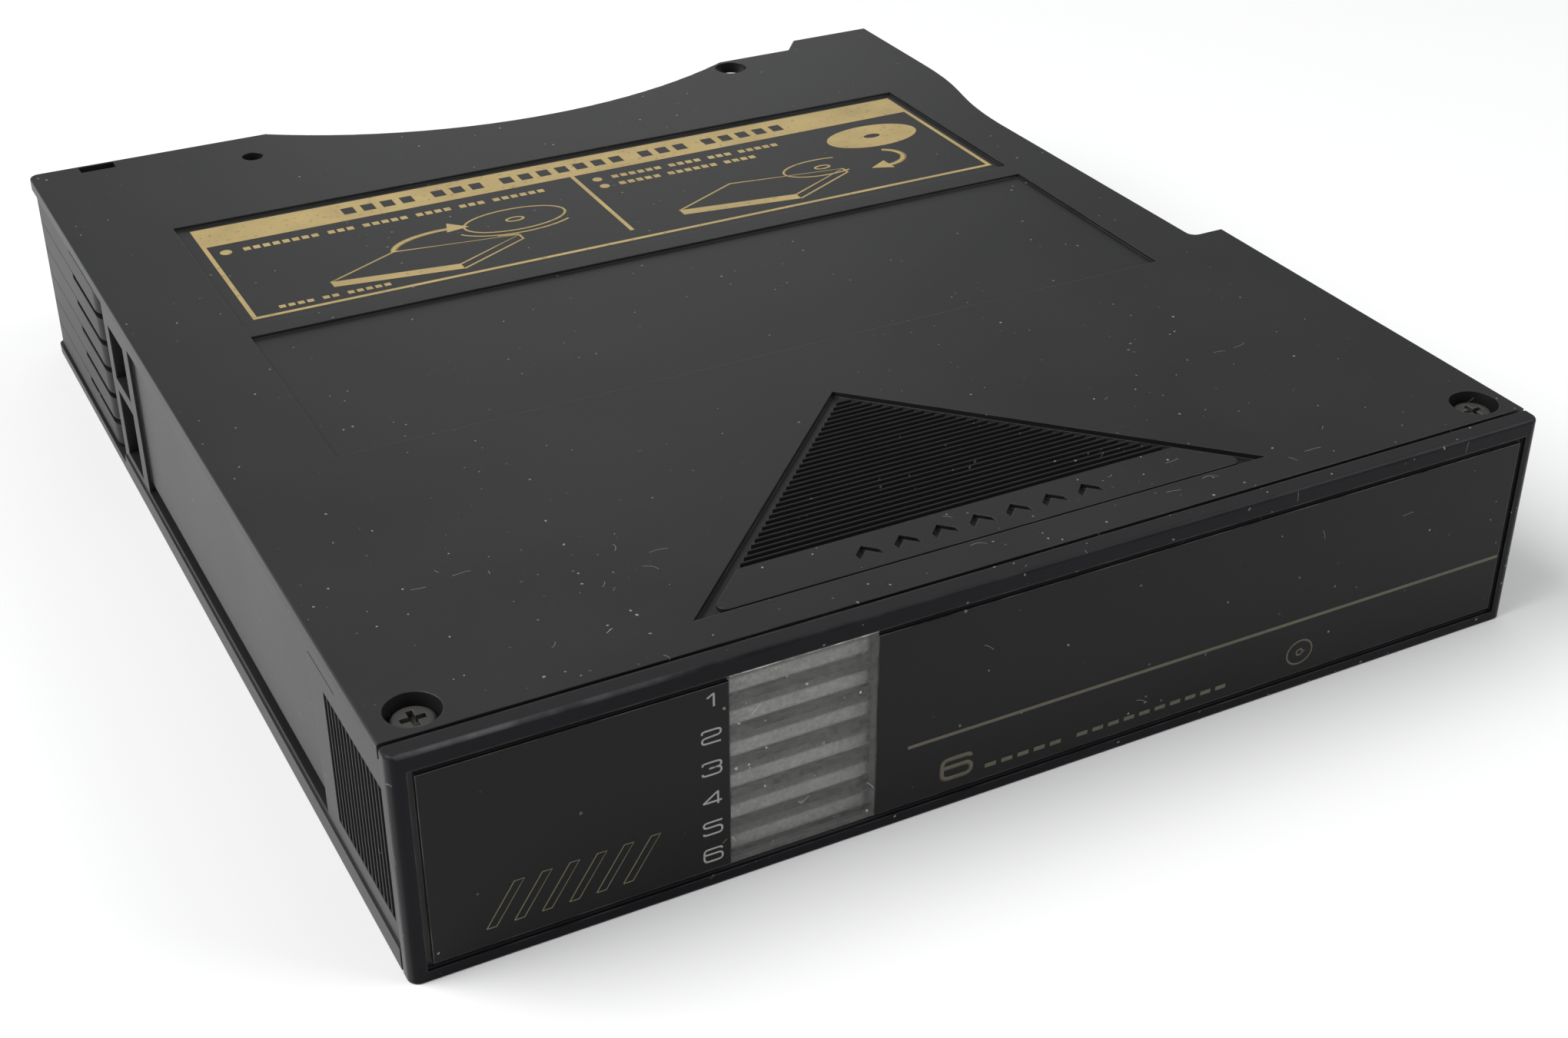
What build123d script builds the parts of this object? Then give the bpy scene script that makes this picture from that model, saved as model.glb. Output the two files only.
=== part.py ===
from build123d import *
import os
from math import acos, cos, degrees, hypot, radians, sin, sqrt

# Every place below is measured on the closed case in millimetres: x from its left side, y from
# its labelled front, z from the surface that it lies on. The last step moves the origin to the
# middle of the underside.

# The disc that sets the size of the case, and the room beside, before and behind it
disc_radius = 60.0
disc_play = 0.75
disc_thickness = 1.2
side_room = 28.0
length_room = 43.0

# Case shells
base_thickness = 1.4
cover_thickness = 1.8
wall = 2.0
wall_inset = 0.25
flange_height = 2.8
seam = 0.6
join_gap = 0.1
fit_gap = 0.1
corner_radius = 1.5
edge_round = 0.3

# Right side: full width at the front, a waist for the fingers, a wing at the rear
shoulder_step = 5.2
shoulder_fillet = 1.2
waist_length = 50.0
waist_lean = 1.0
wing_length = 21.0
wing_inset = 3.0
wing_width = 14.2
wing_slant = 3.0
rear_step = 3.8

# Round bay in the rear edge, where the played disc turns
bay_play = 16.0
bay_depth = 12.7
bay_shift = 4.8

# Tray stack
tray_count = 6
tray_thickness = 3.3
hub_height = 4.08
hub_gap = 0.12
floor_gap = 0.3
hub_spring_height = 0.62
tray_front = 3.2
tray_left = 3.0
tray_right_inset = 7.0
tray_rear_inset = 14.0
tray_overrun = 8.2
tray_corner = 4.0

# Tray hub and the shaft that it turns on
pivot_x = 10.0
pivot_rear_inset = 9.0
shaft_radius = 3.0
running_gap = 0.05
hub_left = 0.4
hub_width = 20.0
hub_length = 22.5
hub_rear_gap = 0.7
flank_round = 3.2
flank_gap = 5.2

# Disc pocket in a tray
pocket_lip = 0.3
pocket_right_margin = 5.75
pocket_rear_margin = 4.25
ledge_width = 2.5
relief_depth = 0.4
spindle_hole_radius = 22.0

# Handling features of a tray
tab_reach = 3.5
tab_length = 22.0
tab_setback = 3.1
tab_groove = 0.5
tab_groove_pitch = 2.0
tab_groove_count = 8
thumb_radius = 9.0
thumb_rear_inset = 37.0
relief_reach = 5.0
relief_margin = 1.6

# Index strip on the front edge of a tray
strip_start = 34.5
strip_length = 21.1
strip_height = 1.85
strip_depth = 0.8
strip_proud = 1.05
strip_rise = 0.45

# Front bezel, panel and window
bezel_depth = 2.35
bezel_side = 1.9
bezel_bottom = 1.25
bezel_top = 2.15
bezel_lip = 0.85
bezel_skin = 0.8
bezel_corner = 1.3
bezel_edge_round = 0.5
panel_gap = 0.75
panel_setback = 0.1
panel_back = 1.5
window_start = 36.9
window_width = 17.9
window_gap = 0.05
window_flange = 0.7
window_flange_thickness = 0.4

# Screws that hold the cover
screw_left_inset = 5.1
screw_right_inset = 4.6
screw_front = 6.8
screw_well_radius = 3.05
screw_head_radius = 2.45
screw_head_height = 1.6
screw_head_depth = 1.1
screw_radius = 1.3
screw_length = 8.0
screw_seat = 0.8
boss_radius = 3.8
pillar_radius = 3.2
cross_width = 0.75
cross_length = 2.8
cross_depth = 0.9

# Left side wall: grip, rail groove, sunk panel, hook windows
wall_rear_inset = 43.7
grip_start = 3.9
grip_pitch = 1.25
grip_count = 15
grip_groove = 0.93
grip_depth = 0.9
grip_low = 5.8
grip_high = 23.0
sunk_start = 27.0
sunk_low = 5.2
sunk_high = 25.4
sunk_depth = 0.55
rail_groove_height = 1.6
rail_groove_depth = 1.2
score_start = 18.0
score_width = 0.2
score_depth = 0.15
hook_length = 8.2
hook_post = 2.6
hook_low = 4.2
hook_bridge_low = 14.4
hook_bridge_high = 16.2
hook_high = 24.4
hook_web = 3.0

# Top of the cover: two label fields, the arrow emblem, player holes
field_left = 14.3
field_right_inset = 14.9
field_depth = 0.45
field_rear_inset = 29.6
field_gap = 3.5
print_field_length = 35.4
note_field_length = 35.5
emblem_shift = 0.4
emblem_base = 8.0
emblem_width = 75.6
emblem_height = 38.2
moat_depth = 0.7
moat_side = 1.83
moat_front = 0.35
plateau_corner = 1.0
ribs_start = 15.0
ribs_pitch = 0.95
ribs_groove = 0.72
ribs_depth = 0.6
arrow_count = 7
arrow_pitch = 4.9
arrow_front = 10.3
arrow_width = 3.0
arrow_length = 2.6
arrow_arm = 1.1
arrow_depth = 0.6
pin_hole_x = 32.2
pin_hole_inset = 8.3
pin_hole_radius = 1.6
large_hole_right_inset = 33.0
large_hole_inset = 7.3
large_hole_radius = 2.6
rear_slot_x = 10.0
rear_slot_width = 5.3
rear_slot_length = 2.2
rear_slot_wall = 0.6

# Inside: curved wall, tray guide, detent spring, runners
arc_wall = 1.5
arc_wall_gap = 1.4
arc_wall_drop = 0.8
front_wall = 1.25
front_wall_reach = 74.0
guide_gap = 0.45
guide_post = 0.8
guide_reach = 4.4
guide_clearance = 0.2
guide_length = 44.4
guide_to_spring = 7.0
spring_thickness = 0.3
spring_length = 18.0
spring_hook_length = 3.0
detent_right_inset = 16.5
detent_depth = 0.7
detent_width = 3.0
notch_width = 4.4
detent_clearance = 0.3
detent_height = 1.6
inner_runner_radius = 70.0
outer_runner_inset = 19.0
runner_width = 2.0
runner_gap = 0.25
runner_margin = 4.0
rail_thickness = 1.0
rail_start = 14.0

# Shaft, washers and hub spring
foot_radius = 4.5
foot_thickness = 0.8
shaft_seat = 1.2
washer_radius = 6.0
washer_thickness = 0.5
hub_spring_radius = 6.5
hub_spring_thickness = 0.3

# How far a cutter runs past what it cuts
over = 1.0

# Plan sizes that follow from the disc
width = 2 * disc_radius + side_room
depth = 2 * disc_radius + length_room
pivot_y = depth - pivot_rear_inset
tray_right = width - tray_right_inset
tray_rear = depth - tray_rear_inset
tray_reach = pivot_y - tray_front
tray_radius = tray_reach + tray_overrun
shoulder_y = pivot_y - sqrt(tray_radius ** 2 - (tray_right - pivot_x) ** 2)
shell_front = bezel_depth + seam
pocket_radius = disc_radius + disc_play
pocket_x = tray_right - pocket_right_margin - pocket_radius
pocket_y = tray_rear - pocket_rear_margin - pocket_radius
hub_right = hub_left + hub_width
hub_rear = depth - hub_rear_gap
hub_front = hub_rear - hub_length
bay_radius = disc_radius + bay_play
bay_x = width / 2 + bay_shift
bay_y = depth + bay_radius - bay_depth
wall_end = depth - wall_rear_inset
flank_front = wall_end + flank_gap
hook_start = wall_end - hook_post - hook_length
sunk_end = hook_start - hook_web
emblem_x = width / 2 + emblem_shift
emblem_slope = 2 * emblem_height / emblem_width
plateau_base = emblem_base + moat_front
plateau_width = emblem_width - 2 * (moat_side + moat_front / emblem_slope)
plateau_height = plateau_width / 2 * emblem_slope
print_field_start = depth - field_rear_inset - print_field_length
note_field_start = print_field_start - field_gap - note_field_length
arc_wall_inner = tray_radius + arc_wall_gap
front_wall_start = width - front_wall_reach
screw_places = ((screw_left_inset, screw_front), (width - screw_right_inset, screw_front))

# Heights that follow from the stack
tray_pitch = hub_height + hub_gap
tray_gap = tray_pitch - tray_thickness
lowest_tray = base_thickness + floor_gap
inner_top = lowest_tray + tray_count * tray_pitch - hub_gap + hub_spring_height
height = inner_top + cover_thickness
wall_top = inner_top - join_gap
arc_wall_top = inner_top - arc_wall_drop
pocket_depth = disc_thickness + pocket_lip
shank_gap = fit_gap / 2
screw_well_floor = height - screw_head_depth - screw_head_height
boss_low = screw_well_floor - screw_seat
runner_low = lowest_tray + (tray_count - 1) * tray_pitch + tray_thickness + runner_gap

# Directions about the tray shaft, in degrees, that follow from lengths along the tray's edge
detent_angle = -degrees(acos((width - detent_right_inset - pivot_x) / tray_radius))
spring_half = degrees(spring_length / 2 / tray_radius)
guide_last = detent_angle - spring_half - degrees(guide_to_spring / tray_radius)
guide_first = guide_last - degrees(guide_length / tray_radius)


def block(x0, x1, y0, y1, z0, z1):
    """Box given by its two corners."""
    middle = ((x0 + x1) / 2, (y0 + y1) / 2, (z0 + z1) / 2)
    return Pos(*middle) * Box(x1 - x0, y1 - y0, z1 - z0)


def rod(x, y, radius, z0, z1):
    """Upright cylinder between two heights."""
    return Pos(x, y, (z0 + z1) / 2) * Cylinder(radius, z1 - z0)


def slab(face, z0, z1):
    """Flat face raised from one height to another."""
    return Pos(0, 0, z0) * extrude(face, z1 - z0)


def round_corner(face, x, y, radius):
    """Round the corner of a flat face that lies nearest to a place."""
    return fillet(face.vertices().sort_by_distance((x, y, 0))[0], radius)


def about_pivot(radius, angle):
    """Place at a distance and direction from the tray shaft."""
    return (pivot_x + radius * cos(radians(angle)), pivot_y + radius * sin(radians(angle)))


def sector(inner, outer, first, last):
    """Part of a ring around the tray shaft, between two directions."""
    middle = (first + last) / 2
    return make_face(
        Curve()
        + Line(about_pivot(inner, first), about_pivot(outer, first))
        + ThreePointArc(about_pivot(outer, first), about_pivot(outer, middle), about_pivot(outer, last))
        + Line(about_pivot(outer, last), about_pivot(inner, last))
        + ThreePointArc(about_pivot(inner, last), about_pivot(inner, middle), about_pivot(inner, first))
    )


def case_outline():
    """Plan of the cover and the base behind the bezel."""
    waist_x = width - shoulder_step
    waist_rear = (waist_x - waist_lean, depth - waist_length)
    wing_x = width - wing_inset
    wing_left = wing_x - wing_width
    wing_start = depth - wing_length
    bend = (wing_start - waist_rear[1]) / 2
    front_part = Polyline(
        (bay_x, depth), (0, depth), (0, shell_front), (width, shell_front), (width, shoulder_y),
        (waist_x, shoulder_y), waist_rear,
    )
    wing_curve = Bezier(
        waist_rear, (waist_rear[0], waist_rear[1] + bend), (wing_x, wing_start - bend), (wing_x, wing_start)
    )
    rear_part = Polyline(
        (wing_x, wing_start), (wing_x, depth), (wing_left, depth),
        (wing_left - wing_slant, depth - rear_step), (bay_x, depth - rear_step), (bay_x, depth),
    )
    face = make_face(Curve() + front_part + wing_curve + rear_part)
    face = round_corner(face, 0, depth, corner_radius)
    face = round_corner(face, waist_x, shoulder_y, shoulder_fillet)
    return face - Pos(bay_x, bay_y) * Circle(bay_radius)


def tray_bottom(number):
    """Underside of a tray; number 1 is the top one."""
    return lowest_tray + (tray_count - number) * tray_pitch


def wall_window(low, high):
    """Opening in the left wall, cut right through it."""
    return block(-over, wall_inset + wall + fit_gap, hook_start, hook_start + hook_length, low, high)


def grip_grooves(x0, x1):
    """Upright grooves that give the fingers a hold on one side of the case."""
    cuts = Part()
    for index in range(grip_count):
        start = grip_start + index * grip_pitch
        cuts += block(x0, x1, start, start + grip_groove, grip_low, grip_high)
    return cuts


def side_cuts():
    """Everything that is sunk into the outside of the left wall."""
    face = wall_inset
    groove_low = sunk_low - rail_groove_height
    cuts = grip_grooves(-over, face + grip_depth)
    cuts += block(-over, face + sunk_depth, sunk_start, sunk_end, sunk_low, sunk_high)
    cuts += block(-over, face + rail_groove_depth, sunk_start, sunk_end, groove_low, sunk_low)
    cuts += block(-over, face + score_depth, score_start, sunk_end, sunk_high, sunk_high + score_width)
    return cuts + wall_window(hook_low, hook_bridge_low) + wall_window(hook_bridge_high, hook_high)


def screw_room():
    """Room in the base for the cover's screw bosses and the screws' shanks."""
    cuts = Part()
    for x, y in screw_places:
        cuts += rod(x, y, boss_radius + fit_gap, boss_low - shank_gap, height)
        cuts += rod(x, y, screw_radius + shank_gap, boss_low - screw_length, height)
    return cuts


def shaft_room():
    """Room in the base for the tray shaft, its foot and the lowest washer."""
    cuts = rod(pivot_x, pivot_y, shaft_radius + shank_gap, -over, base_thickness + over)
    cuts += rod(pivot_x, pivot_y, foot_radius + fit_gap, -over, foot_thickness)
    return cuts + rod(
        pivot_x, pivot_y, washer_radius + fit_gap, lowest_tray - washer_thickness, base_thickness + over
    )


def base_case():
    """Bottom plate with the left, right, front and curved inner walls."""
    left_inner = wall_inset + wall
    right_outer = width - wall_inset
    right_inner = right_outer - wall
    shell = slab(case_outline(), 0, base_thickness)
    shell += block(wall_inset, left_inner, shell_front, wall_end, 0, wall_top)
    shell += block(0, left_inner, shell_front, wall_end, 0, flange_height)
    shell += block(right_inner, right_outer, shell_front, shoulder_y, 0, wall_top)
    shell += block(right_inner, width, shell_front, shoulder_y, 0, flange_height)
    shell += block(front_wall_start, right_inner, shell_front, shell_front + front_wall, 0, wall_top)
    curve_ring = Circle(arc_wall_inner + arc_wall) - Circle(arc_wall_inner)
    curve_wall = slab(Pos(pivot_x, pivot_y) * curve_ring, 0, arc_wall_top)
    shell += curve_wall & block(front_wall_start, right_outer, shell_front, shoulder_y, 0, arc_wall_top)
    for x, y in screw_places:
        shell += rod(x, y, pillar_radius, 0, boss_low - shank_gap)
    shell -= screw_room() + shaft_room()
    return shell - side_cuts() - grip_grooves(right_outer - grip_depth, width + over)


def emblem_triangle(base_y, base_width, rise):
    """Triangle with its base towards the front and its point towards the rear."""
    return make_face(
        Polyline(
            (emblem_x - base_width / 2, base_y), (emblem_x + base_width / 2, base_y),
            (emblem_x, base_y + rise), close=True,
        )
    )


def emblem_cut():
    """Moat around a triangular plateau, and the grooves across the plateau."""
    plateau = emblem_triangle(plateau_base, plateau_width, plateau_height)
    for side in (-1, 1):
        plateau = round_corner(plateau, emblem_x + side * plateau_width / 2, plateau_base, plateau_corner)
    outline = emblem_triangle(emblem_base, emblem_width, emblem_height)
    cuts = slab(outline - plateau, height - moat_depth, height + over)
    grooves = Part()
    for index in range(int((plateau_base + plateau_height - ribs_start) / ribs_pitch)):
        y = ribs_start + index * ribs_pitch
        grooves += block(0, width, y, y + ribs_groove, height - ribs_depth, height + over)
    return cuts + (grooves & slab(plateau, height - ribs_depth, height + over))


def arrow_cuts():
    """Row of small arrows sunk into the plateau, pointing to the rear."""
    arm_front = arrow_front + arrow_arm
    point = arrow_front + arrow_length
    cuts = Part()
    for index in range(arrow_count):
        x = emblem_x + (index - (arrow_count - 1) / 2) * arrow_pitch
        left = x - arrow_width / 2
        right = x + arrow_width / 2
        arrow = make_face(
            Polyline(
                (left, arrow_front), (x, point - arrow_arm), (right, arrow_front),
                (right, arm_front), (x, point), (left, arm_front), close=True,
            )
        )
        cuts += slab(arrow, height - arrow_depth, height + over)
    return cuts


def field_cut(start, length):
    """Shallow rectangle sunk into the top of the cover."""
    right = width - field_right_inset
    return block(field_left, right, start, start + length, height - field_depth, height + over)


def cover_runners():
    """Curved ribs and a straight rail under the cover that keep the top tray level."""
    inside = offset(case_outline(), -runner_margin)
    rail_left = wall_inset + wall + fit_gap
    runners = block(rail_left, rail_left + rail_thickness, rail_start, wall_end, runner_low, inner_top)
    for radius in (inner_runner_radius, tray_radius - outer_runner_inset):
        ring = Circle(radius + runner_width / 2) - Circle(radius - runner_width / 2)
        runners += slab((Pos(pivot_x, pivot_y) * ring) & inside, runner_low, inner_top)
    return runners


def cover_holes():
    """Screw wells, the player's pin holes, the rear slot and the shaft's seat."""
    below = inner_top - over
    above = height + over
    cuts = rod(pin_hole_x, depth - pin_hole_inset, pin_hole_radius, below, above)
    cuts += rod(width - large_hole_right_inset, depth - large_hole_inset, large_hole_radius, below, above)
    slot_left = rear_slot_x - rear_slot_width / 2
    slot_right = slot_left + rear_slot_width
    slot_rear = depth - rear_slot_wall
    cuts += block(slot_left, slot_right, slot_rear - rear_slot_length, slot_rear, below, above)
    cuts += rod(pivot_x, pivot_y, shaft_radius + shank_gap, below, inner_top + shaft_seat + shank_gap)
    for x, y in screw_places:
        cuts += rod(x, y, screw_well_radius, screw_well_floor, above)
        cuts += rod(x, y, screw_radius + fit_gap, boss_low - over, above)
    return cuts


def top_cover():
    """Upper plate with its label fields, emblem, screw wells and bosses."""
    plate = slab(case_outline(), inner_top, height)
    rim = plate.faces().sort_by(Axis.Z)[-1].outer_wire().edges()
    plate = fillet(rim.sort_by(Axis.Y)[1:], edge_round) + cover_runners()
    for x, y in screw_places:
        plate += rod(x, y, boss_radius, boss_low, inner_top)
    plate -= field_cut(print_field_start, print_field_length)
    plate -= field_cut(note_field_start, note_field_length)
    return plate - emblem_cut() - arrow_cuts() - cover_holes()


def front_bezel():
    """Frame around the front, with a lip that holds the panel from outside."""
    frame = block(0, width, 0, bezel_depth, 0, height)
    frame = fillet(frame.edges().filter_by(Axis.Z).group_by(Axis.Y)[0], bezel_corner)
    front_edges = frame.edges().filter_by(Axis.X).group_by(Axis.Y)[0]
    frame = fillet(front_edges.group_by(Axis.Z)[-1], bezel_edge_round)
    rear = bezel_depth + over
    frame -= block(bezel_side, width - bezel_side, -over, rear, bezel_bottom, height - bezel_top)
    return frame - block(bezel_skin, width - bezel_skin, bezel_lip, rear, bezel_skin, height - bezel_skin)


def window_block(gap, y0, y1):
    """Room of the index window, which reaches up to the bezel, widened by a gap on every side."""
    low = bezel_bottom + panel_gap
    high = height - bezel_top
    return block(window_start - gap, window_start + window_width + gap, y0, y1, low - gap, high + gap)


def front_panel():
    """Panel whose raised face fills the bezel's opening."""
    side = bezel_side + panel_gap
    top = height - bezel_top - panel_gap
    panel = block(side, width - side, panel_setback, panel_back, bezel_bottom + panel_gap, top)
    rim = bezel_skin + fit_gap
    panel += block(rim, width - rim, bezel_lip + window_gap, panel_back, rim, height - rim)
    return panel - window_block(0, -over, panel_back + over)


def index_window():
    """Clear plate flush with the panel, with a flange behind it."""
    flange_front = panel_back + window_gap
    flange_back = flange_front + window_flange_thickness
    lens = window_block(-window_gap, panel_setback, flange_back)
    return lens + window_block(window_flange, flange_front, flange_back)


def tray_plan():
    """Outline of a tray: straight at the left, round about the shaft at the front and right."""
    arc_start = (pivot_x + sqrt(tray_radius ** 2 - tray_reach ** 2), tray_front)
    arc_end = (tray_right, shoulder_y)
    half_way = ((arc_start[0] + arc_end[0]) / 2 - pivot_x, (arc_start[1] + arc_end[1]) / 2 - pivot_y)
    stretch = tray_radius / hypot(*half_way)
    arc_middle = (pivot_x + half_way[0] * stretch, pivot_y + half_way[1] * stretch)
    notch_x = screw_left_inset + boss_radius + 2 * guide_gap
    notch_y = screw_front + boss_radius + 2 * guide_gap
    edge = Polyline(
        arc_end, (tray_right, tray_rear), (hub_right, tray_rear), (hub_right, hub_rear),
        (hub_left, hub_rear), (hub_left, flank_front), (tray_left, flank_front - tray_left + hub_left),
        (tray_left, notch_y), (notch_x, notch_y), (notch_x, tray_front), arc_start,
    )
    face = make_face(Curve() + edge + ThreePointArc(arc_start, arc_middle, arc_end))
    face = round_corner(face, tray_right, tray_rear, tray_corner)
    face = round_corner(face, hub_right, tray_rear, tray_corner)
    face = round_corner(face, hub_right, hub_rear, tray_corner)
    face = round_corner(face, hub_left, hub_rear, corner_radius)
    return round_corner(face, hub_left, flank_front, flank_round)


def tray_hub():
    """Full-height block about the shaft, on which the next tray's hub rests."""
    hub = block(hub_left, hub_right, hub_front, hub_rear, 0, hub_height)
    hub = fillet(hub.edges().filter_by(Axis.Z).sort_by(Axis.X)[-2:], tray_corner)
    uprights = hub.edges().filter_by(Axis.Z)
    return fillet(uprights.sort_by_distance((hub_left, hub_rear, 0))[0], corner_radius)


def tray_tab():
    """Finger tab on the right edge of a tray, grooved along its outer side."""
    outer = tray_right + tab_reach
    start = shoulder_y + tab_setback
    tab = block(tray_right - over, outer, start, start + tab_length, 0, tray_thickness)
    tab = fillet(tab.edges().filter_by(Axis.Z).group_by(Axis.X)[-1], tab_reach / 2)
    first = start + (tab_length - (tab_groove_count - 1) * tab_groove_pitch) / 2
    half = tab_groove / 2
    for index in range(tab_groove_count):
        y = first + index * tab_groove_pitch
        tab -= block(outer - tab_groove, outer + over, y - half, y + half, -over, tray_thickness + over)
    return tab


def hook_relief():
    """Room behind the hook windows, taken out of the left edge of a tray."""
    front = hook_start - relief_margin
    rear = hook_start + hook_length + relief_margin
    return block(0, tray_left + relief_reach, front, rear, -over, tray_thickness + over)


def detent_shape(radius, depth_in, full_width):
    """Small V with its open side at a radius and its point nearer to the shaft."""
    half = degrees(full_width / 2 / tray_radius)
    return make_face(
        Polyline(
            about_pivot(radius, detent_angle - half), about_pivot(radius, detent_angle + half),
            about_pivot(radius - depth_in, detent_angle), close=True,
        )
    )


def strip_place(front):
    """Index strip in a tray's front edge, reaching back from a given front."""
    rear = tray_front + strip_depth
    return block(strip_start, strip_start + strip_length, front, rear, strip_rise, strip_rise + strip_height)


def tray_cuts():
    """Disc pocket, spindle hole, thumb notch, shaft bore and the small notches of a tray."""
    top = tray_thickness + over
    floor = tray_thickness - pocket_depth
    cuts = rod(pocket_x, pocket_y, pocket_radius, floor, top)
    cuts += rod(pocket_x, pocket_y, pocket_radius - ledge_width, floor - relief_depth, top)
    cuts += rod(pocket_x, pocket_y, spindle_hole_radius, -over, top)
    cuts += rod(tray_right, tray_rear - thumb_rear_inset, thumb_radius, -over, top)
    cuts += rod(pivot_x, pivot_y, shaft_radius + running_gap, -over, hub_height + over)
    washer_seat = tray_pitch - washer_thickness
    cuts += rod(pivot_x, pivot_y, washer_radius + fit_gap, washer_seat, hub_height + over)
    cuts += slab(detent_shape(tray_radius + fit_gap, detent_depth + fit_gap, notch_width), -over, top)
    return cuts + hook_relief() + strip_place(tray_front - over)


def tray():
    """One disc tray, lying at height zero."""
    return slab(tray_plan(), 0, tray_thickness) + tray_hub() + tray_tab() - tray_cuts()


def index_strip():
    """Light strip in the front edge of a tray, seen through the window."""
    return strip_place(tray_front - strip_proud)


def tray_guide():
    """Comb on the curved wall whose shelves lie between the trays."""
    inner = tray_radius + guide_gap
    comb = slab(sector(inner, inner + guide_post, guide_first, guide_last), base_thickness, arc_wall_top)
    shelf_plan = sector(inner - guide_reach, inner + guide_post / 2, guide_first, guide_last)
    for number in range(2, tray_count + 1):
        shelf_low = tray_bottom(number) + tray_thickness + guide_clearance
        comb += slab(shelf_plan, shelf_low, shelf_low + tray_gap - 2 * guide_clearance)
    return comb


def detent_spring():
    """Spring strip hooked over the curved wall, with one bump for each tray."""
    first = detent_angle - spring_half
    last = detent_angle + spring_half
    outer = arc_wall_inner - join_gap / 2
    inner = outer - spring_thickness
    top = arc_wall_top + join_gap / 2
    back = arc_wall_inner + arc_wall + join_gap / 2
    hook_back = back + spring_thickness
    hook_top = top + spring_thickness
    strip = slab(sector(inner, outer, first, last), base_thickness, top)
    strip += slab(sector(inner, hook_back, first, last), top, hook_top)
    strip += slab(sector(back, hook_back, first, last), top - spring_hook_length, hook_top)
    reach = inner - (tray_radius + detent_clearance) + spring_thickness / 2
    bump = detent_shape(inner + spring_thickness / 2, reach, detent_width)
    for number in range(1, tray_count + 1):
        low = tray_bottom(number) + (tray_thickness - detent_height) / 2
        strip += slab(bump, low, low + detent_height)
    return strip


def pivot_shaft():
    """Steel shaft with a flat foot let into the underside of the base."""
    shaft = rod(pivot_x, pivot_y, shaft_radius, 0, inner_top + shaft_seat)
    return shaft + rod(pivot_x, pivot_y, foot_radius, 0, foot_thickness - shank_gap)


def washer_at(z):
    ring = rod(pivot_x, pivot_y, washer_radius, z, z + washer_thickness)
    return ring - rod(pivot_x, pivot_y, shaft_radius + running_gap, z - over, z + washer_thickness + over)


def hub_washers():
    """Thin washers under the hubs: one on the base and one on each lower hub."""
    heights = [tray_bottom(number) - washer_thickness for number in range(1, tray_count + 1)]
    return Compound([washer_at(z) for z in heights])


def hub_spring():
    """Dished spring washer that presses the hubs together."""
    low = tray_bottom(1) + hub_height
    inner = shaft_radius + 2 * fit_gap
    section = Polyline(
        (inner, 0, inner_top - hub_spring_thickness), (hub_spring_radius, 0, low),
        (hub_spring_radius, 0, low + hub_spring_thickness), (inner, 0, inner_top), close=True,
    )
    return Pos(pivot_x, pivot_y) * revolve(make_face(section), Axis.Z)


def cover_screw(x, y):
    """Cross-head screw that sits in a well of the cover."""
    top = screw_well_floor + screw_head_height
    head = rod(0, 0, screw_head_radius, screw_well_floor, top)
    head = fillet(head.edges().sort_by(Axis.Z)[-1], screw_head_height / 3)
    head -= Pos(0, 0, top) * Box(cross_width, cross_length, 2 * cross_depth)
    head -= Pos(0, 0, top) * Box(cross_length, cross_width, 2 * cross_depth)
    return Pos(x, y) * (head + rod(0, 0, screw_radius, screw_well_floor - screw_length, screw_well_floor))


def cover_screws():
    return Compound([cover_screw(x, y) for x, y in screw_places])


def save(name, shape):
    """Write one piece, with the origin moved to the middle of the underside."""
    export_step(Pos(-width / 2, -depth / 2, 0) * shape, f"parts/{name}.step")


os.makedirs("parts", exist_ok=True)
save("base_case", base_case())
save("top_cover", top_cover())
save("front_bezel", front_bezel())
save("front_panel", front_panel())
save("index_window", index_window())
save("tray_guide", tray_guide())
save("detent_spring", detent_spring())
save("pivot_shaft", pivot_shaft())
save("hub_washers", hub_washers())
save("hub_spring", hub_spring())
save("cover_screws", cover_screws())
tray_shape = tray()
strip_shape = index_strip()
for number in range(1, tray_count + 1):
    lift = Pos(0, 0, tray_bottom(number))
    save(f"tray_{number}", lift * tray_shape)
    save(f"index_strip_{number}", lift * strip_shape)
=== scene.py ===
# %% [markdown]
# # A magazine for six discs
# The real object is a flat black plastic case, about 148 mm wide, 163 mm long and 29 mm high. Six
# trays swing out of it about one steel shaft. The solids are already right in size and place, so
# this lesson adds what solids can't show: the camera, the light, the moulded, polished and printed
# finishes, and the thin printed marks themselves.

# %% Load the fixed frame
from math import cos, pi, radians, sin

import bpy
from mathutils import Euler, Matrix, Vector


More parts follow.
